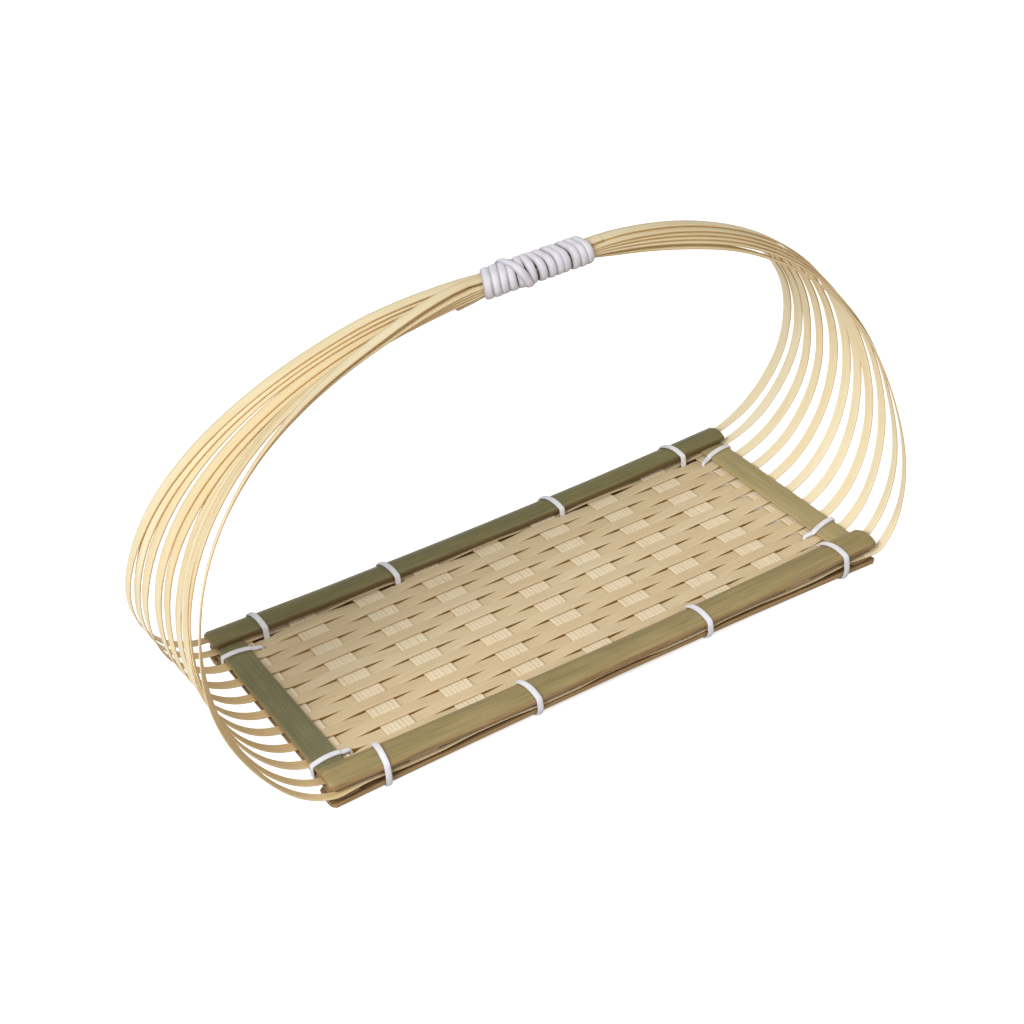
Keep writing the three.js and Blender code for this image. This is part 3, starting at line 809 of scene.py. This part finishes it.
def arch_point(end, share, stave, layer, towards_y):
    place, slope = arch_line(end, share)
    start, _, _, finish = arch_ends(end)
    climb = (place.y - start.y) / (grip_z - start.y)
    beside_grip = place.x - finish.x
    loose = smooth_step(beside_grip / shave_length)
    pitch = mix(strip_thick + layer_gap, loose_layer_pitch, loose)
    pitch *= smooth_step(climb / layers_apart)
    pitch += fuller_pitch * rise_and_fall(beside_grip, *fuller_place)
    shift = (layer - last_stave / 2) * pitch
    fan = math.copysign(max(abs(stave) - 1, 0), stave) * fan_pitch * loose
    y = mix(exit_y(2 * stave), towards_y + fan, max(climb, 0) ** closing)
    apart = math.sin(math.pi * min(share / 0.8, 1)) ** 2
    y += side_sway * apart * wave(f"arch side {stave} {end}", share, 0.9)
    shift += lift_sway * apart * wave(f"arch lift {stave} {end}", share, 0.9)
    x = end * (place.x + slope.y * shift)
    z = place.y - slope.x * shift
    turn = twist * apart * wave(f"arch turn {stave} {end}", share, 1.0)
    if end < 0:
        y += left_sideways[last_stave - stave] * rise_and_fall(share, 0, 0.35, 0.75, 0.25)
        turned = rise_and_fall(share, 0.12, 0.3, 0.7, 0.25)
        turn += left_front_turn * turned * min(max(-stave / 4, 0), 1)
    else:
        turned = rise_and_fall(share, 0, 0.15, 0.45, 0.3)
        turn += right_front_turn * turned * max((-stave - 2) / 3, 0)
    across = Vector((end * slope.y * math.sin(turn), math.cos(turn), -slope.x * math.sin(turn)))
    wide = mix(strip_wide(2 * stave), strip_width, min(share / widen_share, 1))
    high = mix(strip_thick, arch_thick, smooth_step((share - 0.3) / 0.3))
    return Point(Vector((x, y, z)), across, mix(grip_strip_width, wide, loose), high)


def arch_points(end, stave, layer, towards_y):
    points = []
    for i in range(6):
        place = exit_bend(end, i / 6)
        centre = (end * place.x, exit_y(2 * stave), place.y)
        points.append(flat_point(*centre, strip_wide(2 * stave)))
    steps = 64
    for i in range(steps + 1):
        points.append(arch_point(end, i / steps, stave, layer, towards_y))
    return points


def stub_share(end, stub):
    _, _, shoulder, finish = arch_ends(end)
    return 1 - (stub - grip_straight) / (3 * (shoulder.x - finish.x))


def through_end(end, layer):
    """The end of a stave that runs through the grip and shows beyond it"""
    stub = upper_stub if end < 0 else lower_stub
    shares = [1, mix(1, stub_share(-end, stub), 0.5), stub_share(-end, stub)]
    return layer, stub_y, [arch_point(-end, share, 0, layer, stub_y) for share in shares]


def stack_layer(end, stave):
    """On the left the middle stave lies lowest in the grip, and on the right highest"""
    return abs(stave) if end < 0 else last_stave - abs(stave)


def grip_end(end, stave):
    if stave == -last_stave:
        return through_end(end, last_stave + 1 if end < 0 else -1)
    layer = stack_layer(end, stave)
    side = (stave > 0) - (stave < 0)
    y = side * (grip_strip_width + layer_gap) / 2
    z = grip_z + (layer - last_stave / 2) * (strip_thick + layer_gap)
    return layer, y, [flat_point(grip_x + end * layer_gap, y, z, grip_strip_width)]


def stave_kind(point, k):
    """Which bamboo a face shows: 0 outside, 1 in the mat, 2 and 3 inside at the two ends, where 2
    is painted shade and 3 painted light
    """
    if abs(point.centre.x) < bar_x and point.centre.z < mat_z + 5:
        return 1
    if k in INNER_FACES:
        return 2 if point.centre.x < 0 else 3
    return 0


def handle_stave(number, stave):
    node = f"handle_stave_{number:02d}"
    left_layer, left_y, left = grip_end(-1, stave)
    right_layer, right_y, right = grip_end(1, stave)
    points = left[::-1]
    points += arch_points(-1, stave, left_layer, left_y)[::-1]
    points += mat_points(2 * stave, end_bundle_x + bundle_width / 2 + 0.4)
    points += arch_points(1, stave, right_layer, right_y)
    points += right
    surface = Surface(node)
    surface.sweep(points, strip_outline, kind_of=stave_kind)
    bamboo = [stave_bamboo, strip_bamboo, left_inner_painted_shade, right_inner_painted_light]
    surface.piece(node + "_bamboo", bamboo, [node], "stave")


# Frame
def across_tray(node):
    """Middle and width of a rail"""
    low, high = node_box(node)
    return (low.y + high.y) / 2, high.y - low.y


def worn_ends(length, steps):
    """Places along a split culm, and its thickness there as a share"""
    half = length / 2
    inner = half - worn_length
    places = [mix(-inner, inner, i / steps) for i in range(steps + 1)]
    near_end = half - worn_length / 4
    places = [-half, -near_end, *places, near_end, half]
    return [(x, 1 - 0.16 * max(abs(x) - inner, 0) / worn_length) for x in places]


def frame_slot(node):
    for part in frame["record"]["subparts"]:
        if part["node"] == node:
            return part["material_slot"]
    raise ValueError(node)


def rail(node, up, skin, skin_faces):
    y, width = across_tray(node)
    outline = culm_outline(width, rail_wall, rail_crown, rail_hollow)
    points = []
    for x, left in worn_ends(rail_length, 80):
        side = 0.12 * wave(node + " side", x, 160)
        z = mat_z + up * rail_base(x)
        points.append(Point(Vector((x, y + side, z)), Vector((0, up, 0)), left, left))
    surface = Surface(node)
    surface.sweep(points, scaled(outline), kind_of=lambda point, k: int(k >= skin_faces))
    surface.piece(node + "_bamboo", [skin, culm_wood], [node], frame_slot(node))


def crossbar(node, end, up, skin, skin_faces):
    outline = culm_outline(bar_width, bar_wall, bar_crown, bar_hollow)
    points = []
    for y, left in worn_ends(bar_length, 40):
        side = 0.12 * wave(node + " side", y, 120)
        centre = Vector((end * bar_x + side, y, mat_z + up * bar_base))
        points.append(Point(centre, Vector((-up, 0, 0)), left, left))
    surface = Surface(node)
    surface.sweep(points, scaled(outline), kind_of=lambda point, k: int(k >= skin_faces))
    surface.piece(node + "_bamboo", [skin, culm_wood], [node], frame_slot(node))


# Cord
def over_skin(width, wall, crown, steps):
    """Places over a round skin, at the cord's distance from it"""
    radius = ((width / 2) ** 2 + crown**2) / (2 * crown)
    half_angle = math.asin(width / 2 / radius)
    reach = radius + tie_offset
    places = []
    for i in range(steps + 1):
        angle = mix(-half_angle, half_angle, i / steps)
        places.append((reach * math.sin(angle), wall + crown - radius + reach * math.cos(angle)))
    return places


def rounded(points, times=2):
    """A closed line of points with its corners cut"""
    for _ in range(times):
        cut = []
        for i, here in enumerate(points):
            after = points[(i + 1) % len(points)]
            for share in (0.25, 0.75):
                centre = here.centre.lerp(after.centre, share)
                towards = here.towards.lerp(after.towards, share)
                wide = mix(here.wide, after.wide, share)
                high = mix(here.high, after.high, share)
                cut.append(Point(centre, towards, wide, high))
        points = cut
    return points


def rail_tie(node):
    side, inner_x, outer_x = rail_ties[node]
    name = "front" if side < 0 else "back"
    top_y, top_width = across_tray(f"top_rail_{name}")
    bottom_y, bottom_width = across_tray(f"bottom_rail_{name}")
    mat_edge = bundle_length / 2 + 2
    outer_y = max(abs(top_y) + top_width / 2, mat_edge) + tie_offset
    at_corner = abs(inner_x + outer_x) / 2 > bar_x / 2

    def tie_x(y):
        return mix(inner_x, outer_x, (y - slot_y) / (outer_y - slot_y))

    outline = [(slot_y, 0), (slot_y, rail_base(inner_x) + rail_wall)]
    for across, up in over_skin(top_width, rail_wall, rail_crown, 8):
        y = abs(top_y) + across
        outline.append((y, rail_base(tie_x(y)) + up))
    outline += [(outer_y, mat_top + clearance), (outer_y, -mat_top - clearance)]
    for across, up in over_skin(bottom_width, rail_wall, rail_crown, 8)[::-1]:
        y = abs(bottom_y) + across
        ground = at_corner and abs(across) < 0.15 * bottom_width
        outline.append((y, tie_thick / 2 - mat_z if ground else -rail_base(tie_x(y)) - up))
    outline.append((slot_y, -mat_top - clearance))
    points = []
    for y, z in outline:
        centre = Vector((tie_x(y), side * y, mat_z + z))
        points.append(Point(centre, Vector((-side, 0, 0)), tie_width, tie_thick))
    surface = Surface(node)
    surface.sweep(rounded(points), cord_outline, closed=True)
    surface.piece(node + "_cord", [cord_cotton], [node], "cord")


def bar_tie(node):
    end, side, thread, inner, outer = bar_ties[node]
    thread_y = thread * strip_pitch
    inner_y = inner * strip_pitch
    outer_y = outer * strip_pitch
    skin = over_skin(bar_width, bar_wall, bar_crown, 6)
    towards = Vector((0, end, 0))
    inner_x = bar_x - bar_width / 2 - tie_offset
    outer_x = bar_x + bar_width / 2 + tie_offset
    bend_y = mix(thread_y, inner_y, 0.3)
    above = [
        (thread_x, thread_y, mat_top + clearance, thread_width, thread_thick),
        (thread_x + thread_out, bend_y, mat_top + thread_up, bend_width, tie_thick),
        (inner_x, inner_y, bar_base + bar_wall, tie_width, tie_thick),
    ]
    for across, up in skin:
        y = mix(inner_y, outer_y, 0.5 + across / (outer_x - inner_x))
        above.append((bar_x + across, y, bar_base + up, tie_width, tie_thick))
    above.append((outer_x, outer_y, bar_base + bar_wall, tie_width, tie_thick))
    below = [(x, y, -z, wide, high) for x, y, z, wide, high in above[::-1]]
    points = []
    for x, y, z, wide, high in above + below:
        points.append(Point(Vector((end * x, side * y, mat_z + z)), towards, wide, high))
    surface = Surface(node)
    surface.sweep(rounded(points), cord_outline, closed=True)
    surface.piece(node + "_cord", [cord_cotton], [node], "cord")


def round_rectangle(distance, half_width, half_height, radius):
    """A point at a distance along a rectangle with round corners, from its lower side's middle"""
    flat_width = 2 * (half_width - radius)
    flat_height = 2 * (half_height - radius)
    corner = math.pi / 2 * radius
    stretches = [(flat_width / 2, False), (corner, True)]
    stretches += [(flat_height, False), (corner, True), (flat_width, False), (corner, True)]
    stretches += [(flat_height, False), (corner, True), (flat_width / 2, False)]
    perimeter = sum(length for length, _ in stretches)
    left = distance % perimeter
    x, y, heading = 0.0, -half_height, 0.0
    for length, turning in stretches:
        run = min(left, length)
        if turning:
            turned = run / radius
            centre_x = x - radius * math.sin(heading)
            centre_y = y + radius * math.cos(heading)
            heading += turned
            x = centre_x + radius * math.sin(heading)
            y = centre_y - radius * math.cos(heading)
        else:
            x += run * math.cos(heading)
            y += run * math.sin(heading)
        left -= run
        if left <= 0:
            break
    return x, y, perimeter


def grip_winding():
    node = "grip_winding"
    offset = winding_thick / 2 + cord_clearance
    half_width = grip_strip_width + layer_gap / 2 + offset
    stack = (last_stave / 2 + 1) * (strip_thick + layer_gap) + strip_thick / 2
    half_height = stack + offset
    perimeter = round_rectangle(0, half_width, half_height, winding_corner)[2]
    steps = 64
    left_x = grip_x - winding_length / 2 - left_turns_out

    def cord_point(turn, x, lift):
        swell = 0.08 * wave("winding", turn, 3.0) + lift
        y, z, _ = round_rectangle(
            turn * perimeter, half_width + swell, half_height + swell, winding_corner
        )
        leaning = 1 - smooth_step((x - left_x - lean_length / 2) / (lean_length / 2))
        centre = Vector((x + lean * leaning * y, y, grip_z + z))
        return Point(centre, Vector((1, 0, 0)), winding_width, winding_thick)

    points = []
    for i in range(winding_turns * steps + 1):
        turn = i / steps
        x = mix(left_x, grip_x + winding_length / 2, turn / winding_turns)
        x += 0.35 * wave("wind x", turn, 2.6)
        points.append(cord_point(turn, x, 0))
    crossing = []
    first_turn, last_turn = crossing_turns
    for i in range(steps + 1):
        turn = mix(first_turn, last_turn, i / steps)
        x = left_x + mix(*crossing_places, smooth_step(i / steps))
        lift = winding_thick * crossing_lift * math.sin(math.pi * i / steps) ** 0.5
        crossing.append(cord_point(turn, x, lift))
    surface = Surface(node)
    surface.sweep(points, round_cord_outline)
    surface.sweep(crossing, round_cord_outline)
    surface.piece(node + "_cord", [painted_shade_winding_cotton], [node], "cord")


def basket():
    # The back rails' side faces take the skin, so its dark edge colour paints the shade along
    # them.
    sides = (("front", front_rail_skin, ONE_SIDE), ("back", back_rail_skin, BOTH_SIDES))
    for name, skin, skin_faces in sides:
        rail(f"top_rail_{name}", 1, skin, skin_faces)
        rail(f"bottom_rail_{name}", -1, skin, skin_faces)
    for end, name, skin in ((-1, "left", left_bar_skin), (1, "right", right_bar_skin)):
        crossbar(f"top_crossbar_{name}", end, 1, skin, BOTH_SIDES)
        crossbar(f"bottom_crossbar_{name}", end, -1, skin, BOTH_SIDES)
    for bundle in range(len(bundle_names)):
        cross_bundle(bundle)
    odd_strips = [strip for strip in range(last_strip, -last_strip - 1, -1) if strip % 2]
    for number, strip in enumerate(odd_strips, 1):
        mat_strip(number, strip)
    for number, stave in enumerate(range(last_stave, -last_stave - 1, -1), 1):
        handle_stave(number, stave)
    for node in rail_ties:
        rail_tie(node)
    for node in bar_ties:
        bar_tie(node)
    grip_winding()


# Stage. Within this reach from the middle the floor is painted shade, dark brown and glowing
# brown.
painted_shade_reach = (141, 63)
floor_glow = 0.92
room_light = 0.43


def floor():
    """A pale floor that looks white, but for a painted shade under the tray: dark brown, with a
    faint brown glow
    """
    n = Nodes("pale_floor")
    n.shader.inputs["Roughness"].default_value = 1.0
    n.shader.inputs["Specular IOR Level"].default_value = 0.0
    path = n.add("LightPath")
    seen = n.maths("MAXIMUM", path.outputs["Is Camera Ray"], path.outputs["Is Glossy Ray"])
    seen = n.maths("MAXIMUM", seen, path.outputs["Is Transmission Ray"])
    place = n.uv("place")
    along = n.maths("DIVIDE", n.maths("ABSOLUTE", n.part(place, "X")), painted_shade_reach[0])
    across = n.maths("DIVIDE", n.maths("ABSOLUTE", n.part(place, "Y")), painted_shade_reach[1])
    beside = n.ramp(n.maths("MAXIMUM", along, across), [(0.9, 0.0), (1.0, 1.0)])
    # Under the tray: a dark brown base colour and a brown glow, painted shade seen through the
    # gaps in the mat.
    n.feed(n.shader.inputs["Base Color"], n.blend(beside, (0.25, 0.2, 0.14), (0.5, 0.48, 0.45)))
    n.feed(n.shader.inputs["Emission Color"], n.blend(beside, (0.14, 0.08, 0.02), (1.0, 1.0, 1.0)))
    n.feed(n.shader.inputs["Emission Strength"], n.maths("MULTIPLY", seen, floor_glow))
    mesh = bpy.data.meshes.new("floor")
    reach = 6.0
    corners = [(-reach, -reach, 0), (reach, -reach, 0), (reach, reach, 0), (-reach, reach, 0)]
    mesh.from_pydata(corners, [], [(0, 1, 2, 3)])
    layer = mesh.uv_layers.new(name="place")
    layer.uv.foreach_set("vector", [v / MM for corner in corners for v in corner[:2]])
    mesh.materials.append(n.material)
    plane = bpy.data.objects.new("floor", mesh)
    bpy.context.scene.collection.objects.link(plane)


def lamp(name, place, aim, size, power):
    data = bpy.data.lights.new(name, "AREA")
    data.shape = "SQUARE"
    data.size = size
    data.energy = power
    light = bpy.data.objects.new(name, data)
    bpy.context.scene.collection.objects.link(light)
    light.location = place
    light.rotation_euler = (Vector(aim) - Vector(place)).to_track_quat("-Z", "Y").to_euler()


def lights():
    world = bpy.data.worlds.new("soft_room")
    bpy.context.scene.world = world
    world.use_nodes = True
    tree = world.node_tree
    background = tree.nodes["Background"]
    background.inputs["Color"].default_value = (1, 1, 1, 1)
    path = tree.nodes.new("ShaderNodeLightPath")
    strength = tree.nodes.new("ShaderNodeMix")
    strength.data_type = "FLOAT"
    tree.links.new(path.outputs["Is Camera Ray"], strength.inputs["Factor"])
    strength.inputs["A"].default_value = room_light
    strength.inputs["B"].default_value = 1.0
    tree.links.new(strength.outputs["Result"], background.inputs["Strength"])
    lamp("key", (-1.1, -0.52, 1.0), (0, 0, 0.05), 0.7, 17)
    lamp("fill", (0.5, -1.2, 1.1), (0, 0, 0.05), 1.2, 4.2)


# The photograph's camera
camera_place = Vector((-361.9, -660.9, 551.7 + mat_z))
camera_azimuth = math.radians(62.077)
camera_elevation = math.radians(33.688)
camera_roll = math.radians(5.753)
camera_lens = 69.763
sensor_width = 36.0


def camera():
    flat = math.cos(camera_elevation)
    forward = Vector((
        flat * math.cos(camera_azimuth),
        flat * math.sin(camera_azimuth),
        -math.sin(camera_elevation),
    ))
    level = forward.cross(Vector((0, 0, 1))).normalized()
    upright = level.cross(forward)
    right = level * math.cos(camera_roll) - upright * math.sin(camera_roll)
    up = right.cross(forward)
    data = bpy.data.cameras.new("camera")
    data.lens = camera_lens
    data.sensor_width = sensor_width
    data.sensor_fit = "HORIZONTAL"
    data.clip_start = 0.01
    eye = bpy.data.objects.new("camera", data)
    bpy.context.scene.collection.objects.link(eye)
    turn = Matrix((right, up, -forward)).transposed().to_4x4()
    eye.matrix_world = Matrix.Translation(camera_place * MM) @ turn
    bpy.context.scene.camera = eye


camera()
basket()
floor()
lights()
bpy.context.scene.view_settings.view_transform = "Standard"
